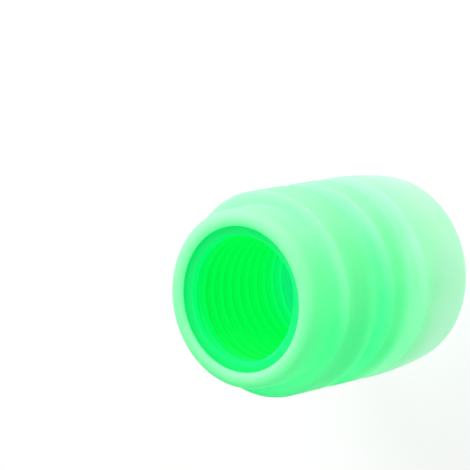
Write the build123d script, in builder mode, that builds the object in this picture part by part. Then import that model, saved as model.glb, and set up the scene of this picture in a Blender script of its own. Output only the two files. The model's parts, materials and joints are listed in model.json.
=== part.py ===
from build123d import *
import os

# A screw-on tyre valve cap, moulded in one piece. It stands on its flat crown with the mouth upwards:
# z = 0 is the crown's face, and +Z runs along the bore and out of the mouth. Sizes are in millimetres.

# The female thread is right-handed: the bore's wall is its crests, and a helical groove goes out to its roots
thread_crest_diameter = 7.3
thread_depth = 0.3
thread_turns_per_inch = 32
thread_crest_flat = 0.43
thread_root_flat = 0.1

# The blind bore, with a plain stretch below the thread's foot
crown_thickness = 4.5
bore_floor_round = 0.4
plain_stretch = 1.5

# Walls, counted outwards from the thread's roots. The mouth's ledge is where the thread comes out
mouth_ledge = 0.25
core_wall = 1.25
groove_depth = 0.8
lip_step = 0.8

# Heights, in the order from the crown to the mouth
head_height = 5.0
groove_width = 1.5
waist_height = 1.75
skirt_height = 2.75
lip_height = 2.5

# The head's wall bows in towards the crown and rolls over into it
head_bow = 0.45
crown_corner_round = 0.85

# The lip's rim rolls in, over and down to the ledge
rim_inner_round = 0.35

# Small roundings at the rims of the bands and at the foot of each step
band_edge_round = 0.15
step_root_round = 0.2

# The blank's lip stands this far above the mouth, and the thread ends half way up this trim
trim_height = 1.6

# The thread's groove is drawn this far into the open bore
thread_overlap = 0.05

# Corners nearer than this are one and the same
same_place = 1e-6

crest_radius = thread_crest_diameter / 2
root_radius = crest_radius + thread_depth
mouth_radius = root_radius + mouth_ledge
rim_radius = mouth_radius + rim_inner_round
core_radius = root_radius + core_wall
body_radius = core_radius + groove_depth
crown_radius = body_radius - head_bow
lip_radius = body_radius - lip_step
rim_outer_round = lip_radius - rim_radius

upper_groove_z = head_height
waist_z = upper_groove_z + groove_width
lower_groove_z = waist_z + waist_height
skirt_z = lower_groove_z + groove_width
lip_z = skirt_z + skirt_height
mouth_z = lip_z + lip_height
ledge_z = mouth_z - rim_inner_round
rim_foot_z = mouth_z - rim_outer_round
trim_z = mouth_z + trim_height

thread_pitch = IN / thread_turns_per_inch
thread_foot_z = crown_thickness + plain_stretch
thread_height = mouth_z + trim_height / 2 - thread_foot_z
root_half_width = thread_root_flat / 2
crest_gap_half_width = (thread_pitch - thread_crest_flat) / 2
flank_slope = (crest_gap_half_width - root_half_width) / thread_depth
overlap_half_width = crest_gap_half_width + flank_slope * thread_overlap

groove_ends = (upper_groove_z, waist_z, lower_groove_z, skirt_z)


def corners_at(radius, *heights):
    """The half section's corners at one radius and at the given heights."""
    return half_section.vertices().filter_by(
        lambda corner: abs(corner.X - radius) < same_place
        and any(abs(corner.Y - height) < same_place for height in heights)
    )


os.makedirs("parts", exist_ok=True)

with BuildPart() as valve_cap:
    # The blank is a half section turned about the bore's axis
    with BuildSketch(Plane.YZ) as half_section:
        with BuildLine():
            crown_face = Line((0, 0), (crown_radius, 0))
            head_wall = TangentArc((body_radius, head_height), crown_face @ 1, tangent=(0, -1))
            Polyline(
                head_wall @ 0,
                (body_radius, lip_z),
                (lip_radius, lip_z),
                (lip_radius, trim_z),
                (0, trim_z),
                crown_face @ 0,
            )
        make_face()

        # The two ring grooves, and the blind bore
        with Locations((body_radius, upper_groove_z), (body_radius, lower_groove_z)):
            Rectangle(groove_depth, groove_width, align=(Align.MAX, Align.MIN), mode=Mode.SUBTRACT)
        with Locations((0, crown_thickness)):
            Rectangle(crest_radius, trim_z - crown_thickness, align=Align.MIN, mode=Mode.SUBTRACT)

        # Moulded roundings, from the crown to the lip and at the bore's floor
        fillet(corners_at(crown_radius, 0), crown_corner_round)
        fillet(corners_at(body_radius, *groove_ends, lip_z), band_edge_round)
        fillet(corners_at(core_radius, *groove_ends), step_root_round)
        fillet(corners_at(lip_radius, lip_z), step_root_round)
        fillet(corners_at(crest_radius, crown_thickness), bore_floor_round)
    revolve(axis=Axis.Z)

    # The thread's groove climbs from its foot up into the trim
    with BuildLine():
        thread_line = Helix(thread_pitch, thread_height, crest_radius, center=(0, 0, thread_foot_z))
    with BuildSketch(Plane(thread_line @ 0, x_dir=(1, 0, 0), z_dir=thread_line % 0)):
        with BuildLine():
            Polyline(
                (-thread_overlap, -overlap_half_width),
                (thread_depth, -root_half_width),
                (thread_depth, root_half_width),
                (-thread_overlap, overlap_half_width),
                close=True,
            )
        make_face()
    sweep(path=thread_line, is_frenet=True, mode=Mode.SUBTRACT)

    # The trim comes off at the mouth, down to the ledge and over the rim's two roundings
    with BuildSketch(Plane.YZ):
        with BuildLine():
            ledge = Line((0, ledge_z), (mouth_radius, ledge_z))
            inner_round = TangentArc(ledge @ 1, (rim_radius, mouth_z), tangent=(0, 1))
            outer_round = TangentArc(inner_round @ 1, (lip_radius, rim_foot_z), tangent=(1, 0))
            Polyline(
                outer_round @ 1,
                (body_radius, rim_foot_z),
                (body_radius, trim_z),
                (0, trim_z),
                ledge @ 0,
            )
        make_face()
    revolve(axis=Axis.Z, mode=Mode.SUBTRACT)

valve_cap.part.label = "valve_cap"
export_step(valve_cap.part, "parts/valve_cap.step")
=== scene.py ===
import json
import math

import bmesh
import bpy
from mathutils import Matrix, Vector


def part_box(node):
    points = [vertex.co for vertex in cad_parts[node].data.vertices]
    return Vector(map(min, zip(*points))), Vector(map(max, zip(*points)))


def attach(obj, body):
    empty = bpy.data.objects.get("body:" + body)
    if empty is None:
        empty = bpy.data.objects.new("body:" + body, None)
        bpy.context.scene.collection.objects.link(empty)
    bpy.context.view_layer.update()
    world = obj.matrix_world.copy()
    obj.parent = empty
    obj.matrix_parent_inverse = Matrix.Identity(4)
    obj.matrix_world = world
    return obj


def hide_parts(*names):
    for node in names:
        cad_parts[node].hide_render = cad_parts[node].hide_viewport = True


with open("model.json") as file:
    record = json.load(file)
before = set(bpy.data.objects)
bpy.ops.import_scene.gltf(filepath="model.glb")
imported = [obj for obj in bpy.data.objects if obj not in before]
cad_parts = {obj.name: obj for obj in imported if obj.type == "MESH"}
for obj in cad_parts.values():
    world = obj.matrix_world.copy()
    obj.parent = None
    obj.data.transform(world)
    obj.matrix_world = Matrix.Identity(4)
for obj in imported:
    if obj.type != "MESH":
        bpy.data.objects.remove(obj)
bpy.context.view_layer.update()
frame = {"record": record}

MM = 0.001
INCH = 25.4 * MM
WHITE = (1, 1, 1, 1)

# The cap's outer size and the thread's crests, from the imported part
mouth_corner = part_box("valve_cap")[1]
mounts = {mount["name"]: mount for mount in frame["record"]["mounts"]}
body_radius = mouth_corner.x
mouth_z = mouth_corner.z
crest_radius = mounts["valve_thread"]["dims"]["r_mm"] * MM

# Heights, counted from the crown, and depths, as in the part's half section
head_height = 5.0 * MM
groove_width = 1.5 * MM
waist_height = 1.75 * MM
lip_height = 2.5 * MM
groove_depth = 0.8 * MM
lip_step = 0.8 * MM
head_bow = 0.45 * MM
crown_thickness = 4.5 * MM
mouth_ledge = 0.25 * MM

# Roundings
crown_corner_round = 0.85 * MM
band_edge_round = 0.15 * MM
step_root_round = 0.2 * MM
bore_floor_round = 0.4 * MM
rim_inner_round = 0.35 * MM

# The female thread, which is right-handed, with a plain stretch of bore below its foot
thread_turns_per_inch = 32
thread_depth = 0.3 * MM
thread_crest_flat = 0.43 * MM
thread_root_flat = 0.1 * MM
plain_stretch = 1.5 * MM

# Fineness of the lathe
turn_segments = 180
arc_steps = 6
bow_steps = 12
rim_steps = 12
ledge_rows = 3
thread_rows_per_turn = 24
holding_edge = 0.03 * MM
same_place = 0.001 * MM

# Radii and heights that follow from these
core_radius = body_radius - groove_depth
lip_radius = body_radius - lip_step
mouth_radius = crest_radius + thread_depth + mouth_ledge
rim_radius = mouth_radius + rim_inner_round
rim_outer_round = lip_radius - rim_radius
upper_groove_z = head_height
lower_groove_z = head_height + groove_width + waist_height
lip_z = mouth_z - lip_height
ledge_z = mouth_z - rim_inner_round
bore_foot_z = crown_thickness + bore_floor_round
thread_foot_z = crown_thickness + plain_stretch
thread_pitch = INCH / thread_turns_per_inch

# What the plastic reflects; the ledge and the bore get darker colours as painted shade
wall_colour = (0.57, 0.72, 0.60, 1)
# The head reflects less than the wall, as its painted glow gives most of its paleness
head_colour = (0.26, 0.60, 0.35, 1)
# The ledge and the bore are dark with painted shade: almost no red or blue, as if no lamp light reached
# into the mouth
ledge_shaded_colour = (0.01, 0.50, 0.12, 1)
bore_shaded_colour = (0.0, 0.30, 0.015, 1)

# Painted glow, far stronger than the luminous plastic's own: palest in the solid head as painted light,
# deepest half way down the bore as painted shade
# The wall's painted glow keeps the green bright where the lamps leave it in shade
wall_painted_glow = (0.0, 0.74, 0.18, 1)
# The head's pale glow is painted light, standing for lamp light that passes through the solid head
head_painted_glow = (0.42, 0.82, 0.55, 1)
# The ledge's, the bore's and the floor's glows paint shade into the hollow, with a bluer green near the
# floor as painted light
ledge_painted_glow = (0.0, 0.55, 0.12, 1)
bore_painted_glow = (0.0, 0.64, 0.06, 1)
bore_floor_painted_glow = (0.004, 0.58, 0.20, 1)

# How far the colours take to pass into one another
ledge_blend = 0.05 * MM
bore_blend = 1.4 * MM
depth_blend = 4.0 * MM
crown_blend = 1.0 * MM
head_blend_start = 0.5 * MM
head_blend_end = 9.0 * MM

# Grain of the pigment's clouds, of the glowing powder and of the mould's satin
cloud_grain = 3.5 * MM
powder_grain = 0.22 * MM
satin_grain = 0.35 * MM
satin_height = 0.006 * MM

# How much the clouds and the powder shift the blend from wall to head, and its margin for them
noise_middle = 0.5
cloud_share = 0.5
powder_share = 0.3
blend_margin = 0.2

# The finish of the surface, and how far light travels inside the plastic
satin_roughness = 0.45
roughness_spread = 0.18
gloss_level = 0.1
light_reach = 3.0 * MM

# The studio: the key light stands on the +X side, and the fill light on the -Y side, as the camera does
light_distance = 0.5
key_direction = (1.0, 0.1, 0.7)
key_size = 0.36
key_power = 1.85
fill_direction = (0.6, -1.0, 0.35)
fill_size = 0.4
fill_power = 0.34
ambient = 0.03
floor_half_width = 0.5
floor_gap = 0.02 * MM
floor_grey = 0.3
floor_lift = 0.88

# The camera, fitted to the outline of the cap as it lies with its mouth to the left
image_size = 470
sensor_width = 36.0
camera_distance = 200 * MM
camera_near = 10 * MM
focal_pixels = 3519
view_off_axis = math.radians(39.5)
camera_roll = math.radians(-10.2)
mouth_pixel = Vector((238, 300))


class Pen:
    """Draws a half section in the XZ plane, one stretch after another."""

    def __init__(self, radius, z):
        self.mesh = bmesh.new()
        self.tip = self.mesh.verts.new((radius, 0, z))

    def step_to(self, place):
        grown = bmesh.ops.extrude_vert_indiv(self.mesh, verts=[self.tip])["verts"]
        self.tip = grown[0]
        self.tip.co = place

    def line_to(self, radius, z, pieces=1):
        """A straight stretch, with an edge close to either end that holds the shading flat."""
        start = self.tip.co.copy()
        end = Vector((radius, 0, z))
        share = holding_edge / (end - start).length
        stops = [share]
        stops += [piece / pieces for piece in range(1, pieces)]
        stops += [1 - share, 1]
        for stop in stops:
            self.step_to(start.lerp(end, stop))

    def arc(self, centre_radius, centre_z, degrees, steps=arc_steps):
        """A round stretch about a centre; a positive angle turns from +X towards +Z."""
        grown = bmesh.ops.spin(
            self.mesh, geom=[self.tip], cent=(centre_radius, 0, centre_z), axis=(0, -1, 0),
            angle=math.radians(degrees), steps=steps,
        )["geom_last"]
        self.tip = grown[0]


def draw_head(pen):
    """From the crown's centre over its rounded corner and up the bowed wall."""
    bow_radius = (head_height**2 + head_bow**2) / (2 * head_bow)
    bow_centre = body_radius - bow_radius
    inner_radius = bow_radius - crown_corner_round
    start_angle = math.asin((head_height - crown_corner_round) / inner_radius)
    end_angle = math.asin(band_edge_round / bow_radius)
    flat_radius = bow_centre + inner_radius * math.cos(start_angle)
    pen.line_to(flat_radius, 0)
    pen.arc(flat_radius, crown_corner_round, 90 - math.degrees(start_angle))
    pen.arc(bow_centre, head_height, math.degrees(start_angle - end_angle), steps=bow_steps)


def draw_rim_in(pen, z):
    """Over the rim of a band, from its wall to the face that leads in to a step's root."""
    pen.arc(body_radius - band_edge_round, z - band_edge_round, 90)


def draw_groove(pen, z):
    """One ring groove, entered over the rim below it and left over the rim above it."""
    top = z + groove_width
    draw_rim_in(pen, z)
    pen.line_to(core_radius + step_root_round, z)
    pen.arc(core_radius + step_root_round, z + step_root_round, -90)
    pen.line_to(core_radius, top - step_root_round)
    pen.arc(core_radius + step_root_round, top - step_root_round, -90)
    pen.line_to(body_radius - band_edge_round, top)
    pen.arc(body_radius - band_edge_round, top + band_edge_round, 90)


def draw_lip(pen):
    """Up the skirt, in at the shoulder, up the lip and over its rolled rim down to the ledge."""
    pen.line_to(body_radius, lip_z - band_edge_round)
    draw_rim_in(pen, lip_z)
    pen.line_to(lip_radius + step_root_round, lip_z)
    pen.arc(lip_radius + step_root_round, lip_z + step_root_round, -90)
    pen.line_to(lip_radius, mouth_z - rim_outer_round)
    pen.arc(rim_radius, mouth_z - rim_outer_round, 90, steps=rim_steps)
    pen.arc(rim_radius, ledge_z, 90, steps=rim_steps)


def draw_bore(pen):
    """In along the ledge, down the wall in rows fine enough for the thread, and over the floor."""
    wall_rows = round((ledge_z - bore_foot_z) / thread_pitch * thread_rows_per_turn)
    pen.line_to(crest_radius, ledge_z, pieces=ledge_rows)
    pen.line_to(crest_radius, bore_foot_z, pieces=wall_rows)
    pen.arc(crest_radius - bore_floor_round, bore_foot_z, -90)
    pen.line_to(0, crown_thickness)


def smooth_ramp(value):
    """Rises smoothly from 0 to 1 as the value does."""
    value = min(max(value, 0), 1)
    return value * value * (3 - 2 * value)


def cut_thread(mesh):
    """Pushes the bore's wall out along a right-handed helix, from the thread's foot up to the ledge.

    The ledge's inner edge goes out with the wall, and the rest of the ledge follows it by shares."""
    gap_half_width = (thread_pitch - thread_crest_flat) / 2
    flank_run = gap_half_width - thread_root_flat / 2
    for vert in mesh.verts:
        radius = vert.co.xy.length
        if vert.co.z < bore_foot_z or not crest_radius - holding_edge < radius < mouth_radius:
            continue
        turn = math.atan2(vert.co.y, vert.co.x) / math.tau % 1
        turns_up = (vert.co.z - thread_foot_z) / thread_pitch - turn
        off_groove = abs(turns_up - max(round(turns_up), 0)) * thread_pitch
        in_groove = smooth_ramp((gap_half_width - off_groove) / flank_run)
        groove_radius = crest_radius + thread_depth * in_groove
        ledge_share = (radius - crest_radius) / (mouth_radius - crest_radius)
        vert.co.xy *= (groove_radius + ledge_share * (mouth_radius - groove_radius)) / radius


def new_piece(name, mesh, material):
    data = bpy.data.meshes.new(name)
    mesh.to_mesh(data)
    mesh.free()
    data.materials.append(material)
    piece = bpy.data.objects.new(name, data)
    bpy.context.collection.objects.link(piece)
    return piece


def moulded_cap(material):
    """The whole cap: a half section turned about the bore, with the thread cut into the bore."""
    pen = Pen(0, 0)
    draw_head(pen)
    draw_groove(pen, upper_groove_z)
    pen.line_to(body_radius, lower_groove_z - band_edge_round)
    draw_groove(pen, lower_groove_z)
    draw_lip(pen)
    draw_bore(pen)
    mesh = pen.mesh
    bmesh.ops.spin(
        mesh, geom=mesh.verts[:] + mesh.edges[:], cent=(0, 0, 0), axis=(0, 0, 1),
        angle=math.tau, steps=turn_segments, use_merge=True,
    )
    bmesh.ops.remove_doubles(mesh, verts=mesh.verts, dist=same_place)
    cut_thread(mesh)
    bmesh.ops.recalc_face_normals(mesh, faces=mesh.faces)
    for face in mesh.faces:
        face.smooth = True
    return new_piece("moulded_cap", mesh, material)


class Wire:
    """One socket of a node tree. Arithmetic on it adds Math nodes."""

    def __init__(self, tree, socket=None):
        self.tree = tree
        self.socket = socket

    def add(self, kind, inputs=None, output=0, **settings):
        """Any other node: its settings come first, then the values or links of its sockets."""
        node = self.tree.nodes.new(kind)
        for name, value in settings.items():
            setattr(node, name, value)
        for name, value in (inputs or {}).items():
            if isinstance(value, Wire):
                self.tree.links.new(value.socket, node.inputs[name])
            else:
                node.inputs[name].default_value = value
        return Wire(self.tree, node.outputs[output]) if node.outputs else None

    def sibling(self, name):
        """Another output of the same node."""
        return Wire(self.tree, self.socket.node.outputs[name])

    def math(self, operation, first, second=0.0):
        return self.add("ShaderNodeMath", {0: first, 1: second}, operation=operation)

    def __add__(self, other):
        return self.math("ADD", self, other)

    __radd__ = __add__

    def __sub__(self, other):
        return self.math("SUBTRACT", self, other)

    def __rsub__(self, other):
        return self.math("SUBTRACT", other, self)

    def __mul__(self, other):
        return self.math("MULTIPLY", self, other)

    __rmul__ = __mul__

    def __pow__(self, other):
        return self.math("POWER", self, other)

    def ramp(self, low, high):
        """0 below low, 1 above high and smooth between."""
        return self.add(
            "ShaderNodeMapRange", {"Value": self, "From Min": low, "From Max": high},
            interpolation_type="SMOOTHSTEP",
        )

    def mix(self, first, second):
        """Mixes two colours by this value; the Mix node's colour sockets are its inputs 6 and 7."""
        return self.add("ShaderNodeMix", {0: self, 6: first, 7: second}, output=2, data_type="RGBA")

    def noise(self, grain, detail=2.0):
        """Cloudy noise on these coordinates, with lumps about as large as the grain."""
        return self.add("ShaderNodeTexNoise", {"Vector": self, "Scale": 1 / grain, "Detail": detail})


def new_material(name):
    material = bpy.data.materials.new(name)
    material.use_nodes = True
    material.node_tree.nodes.clear()
    return material, Wire(material.node_tree)


def luminous_plastic():
    """Milky green luminous plastic with a painted glow: painted light makes the solid head palest, and
    painted shade makes the bore deep green.
    """
    material, wire = new_material("luminous_plastic")
    place = wire.add("ShaderNodeTexCoord", output="Object")
    x = wire.add("ShaderNodeSeparateXYZ", {"Vector": place}, output="X")
    y = x.sibling("Y")
    z = x.sibling("Z")
    radius = (x * x + y * y) ** 0.5

    # Where the surface lies on the moulding
    within_mouth = 1 - radius.ramp(mouth_radius, mouth_radius + ledge_blend)
    in_bore = within_mouth * z.ramp(crown_thickness - crown_blend, crown_thickness)
    past_ledge = 1 - z.ramp(ledge_z - bore_blend, ledge_z)
    in_depth = 1 - z.ramp(crown_thickness, crown_thickness + depth_blend)
    # The head's share carries its painted light
    in_head = 1 - z.ramp(head_blend_start, head_blend_end)

    # Uneven pigment: soft clouds in the wall, and fine grains of the glowing powder
    clouds = place.noise(cloud_grain)
    grains = place.noise(powder_grain, detail=3.0)
    uneven = (clouds - noise_middle) * cloud_share + (grains - noise_middle) * powder_share
    # The blend from wall to head, which is painted light paling the head, broken up by the pigment's
    # clouds and powder
    clear = (in_head + uneven).ramp(-blend_margin, 1 + blend_margin)

    shell_colour = clear.mix(wall_colour, head_colour)
    # The hollow darkens with painted shade, from the ledge into the bore
    hollow_shaded_colour = past_ledge.mix(ledge_shaded_colour, bore_shaded_colour)
    # The painted glow of the outside, paler in the head as painted light
    shell_painted_glow = clear.mix(wall_painted_glow, head_painted_glow)
    # The painted glow of the hollow, deep green as painted shade
    hollow_painted_glow = past_ledge.mix(ledge_painted_glow, in_depth.mix(bore_painted_glow, bore_floor_painted_glow))

    # The mould's satin stands out on the outside alone: the bore is moulded smooth
    satin = place.noise(satin_grain, detail=4.0)
    bumped = wire.add("ShaderNodeBump", {
        "Strength": 1.0,
        "Distance": satin_height,
        "Height": satin * (1 - in_bore),
    })

    shader = wire.add("ShaderNodeBsdfPrincipled", {
        "Base Color": in_bore.mix(shell_colour, hollow_shaded_colour),
        "Roughness": satin_roughness + satin * roughness_spread,
        "Specular IOR Level": gloss_level,
        "Subsurface Weight": 1.0,
        "Subsurface Radius": (1.0, 1.0, 1.0),
        "Subsurface Scale": light_reach,
        # Painted glow over the whole part
        "Emission Color": in_bore.mix(shell_painted_glow, hollow_painted_glow),
        "Emission Strength": 1.0,
        "Normal": bumped,
    })
    wire.add("ShaderNodeOutputMaterial", {"Surface": shader})
    return material


def seen_directly(wire):
    """1 where a ray comes from the camera or from a mirror or glass, and 0 where it carries light."""
    camera_ray = wire.add("ShaderNodeLightPath", output="Is Camera Ray")
    glossy_ray = camera_ray.sibling("Is Glossy Ray")
    clear_ray = camera_ray.sibling("Is Transmission Ray")
    return wire.math("MAXIMUM", wire.math("MAXIMUM", camera_ray, glossy_ray), clear_ray)


def studio_floor():
    """A wide floor under the cap, lifted to white where it is seen and still shaded by the cap."""
    material, wire = new_material("studio_floor")
    plain = wire.add("ShaderNodeBsdfDiffuse", {"Color": (floor_grey, floor_grey, floor_grey, 1)})
    lift = wire.add("ShaderNodeEmission", {"Color": WHITE, "Strength": floor_lift})
    lifted = wire.add("ShaderNodeAddShader", {0: plain, 1: lift})
    shader = wire.add("ShaderNodeMixShader", {0: seen_directly(wire), 1: plain, 2: lifted})
    wire.add("ShaderNodeOutputMaterial", {"Surface": shader})
    mesh = bmesh.new()
    bmesh.ops.create_grid(mesh, x_segments=1, y_segments=1, size=floor_half_width)
    bmesh.ops.translate(mesh, verts=mesh.verts, vec=(0, 0, -floor_gap))
    floor = new_piece("studio_floor", mesh, material)


def studio_world():
    """A faint even light, and white where the sky itself is seen."""
    world = bpy.data.worlds.new("studio_world")
    world.use_nodes = True
    world.node_tree.nodes.clear()
    wire = Wire(world.node_tree)
    strength = seen_directly(wire) * (1 - ambient) + ambient
    sky = wire.add("ShaderNodeBackground", {"Color": WHITE, "Strength": strength})
    wire.add("ShaderNodeOutputWorld", {"Surface": sky})
    bpy.context.scene.world = world


def soft_light(name, direction, size, power):
    """A square soft box that faces the middle of the cap."""
    middle = Vector((0, 0, mouth_z / 2))
    away = Vector(direction).normalized()
    data = bpy.data.lights.new(name, "AREA")
    data.size = size
    data.energy = power
    light = bpy.data.objects.new(name, data)
    turned = (-away).to_track_quat("-Z", "Y").to_matrix().to_4x4()
    light.matrix_world = Matrix.Translation(middle + away * light_distance) @ turned
    light.visible_camera = False
    bpy.context.collection.objects.link(light)


def photo_camera():
    """Looks into the mouth from beside the bore's axis, rolled so that the mouth lies to the left."""
    forward = Vector((0, math.sin(view_off_axis), -math.cos(view_off_axis)))
    towards_crown = Vector((0, -math.cos(view_off_axis), -math.sin(view_off_axis)))
    sideways = forward.cross(towards_crown)
    right = math.cos(camera_roll) * towards_crown - math.sin(camera_roll) * sideways
    down = math.sin(camera_roll) * towards_crown + math.cos(camera_roll) * sideways
    offset = (mouth_pixel - Vector((image_size, image_size)) / 2) * (camera_distance / focal_pixels)
    mouth = Vector((0, 0, mouth_z))
    place = mouth - right * offset.x - down * offset.y - forward * camera_distance
    data = bpy.data.cameras.new("photo_camera")
    data.sensor_width = sensor_width
    data.lens = sensor_width * focal_pixels / image_size
    data.clip_start = camera_near
    camera = bpy.data.objects.new("photo_camera", data)
    turned = Matrix((right, -down, -forward)).transposed().to_4x4()
    camera.matrix_world = Matrix.Translation(place) @ turned
    bpy.context.collection.objects.link(camera)
    bpy.context.scene.camera = camera


cap = moulded_cap(luminous_plastic())
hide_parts("valve_cap")
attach(cap, "root")

studio_floor()
studio_world()
soft_light("key_light", key_direction, key_size, key_power)
soft_light("fill_light", fill_direction, fill_size, fill_power)
photo_camera()
bpy.context.scene.view_settings.view_transform = "Standard"
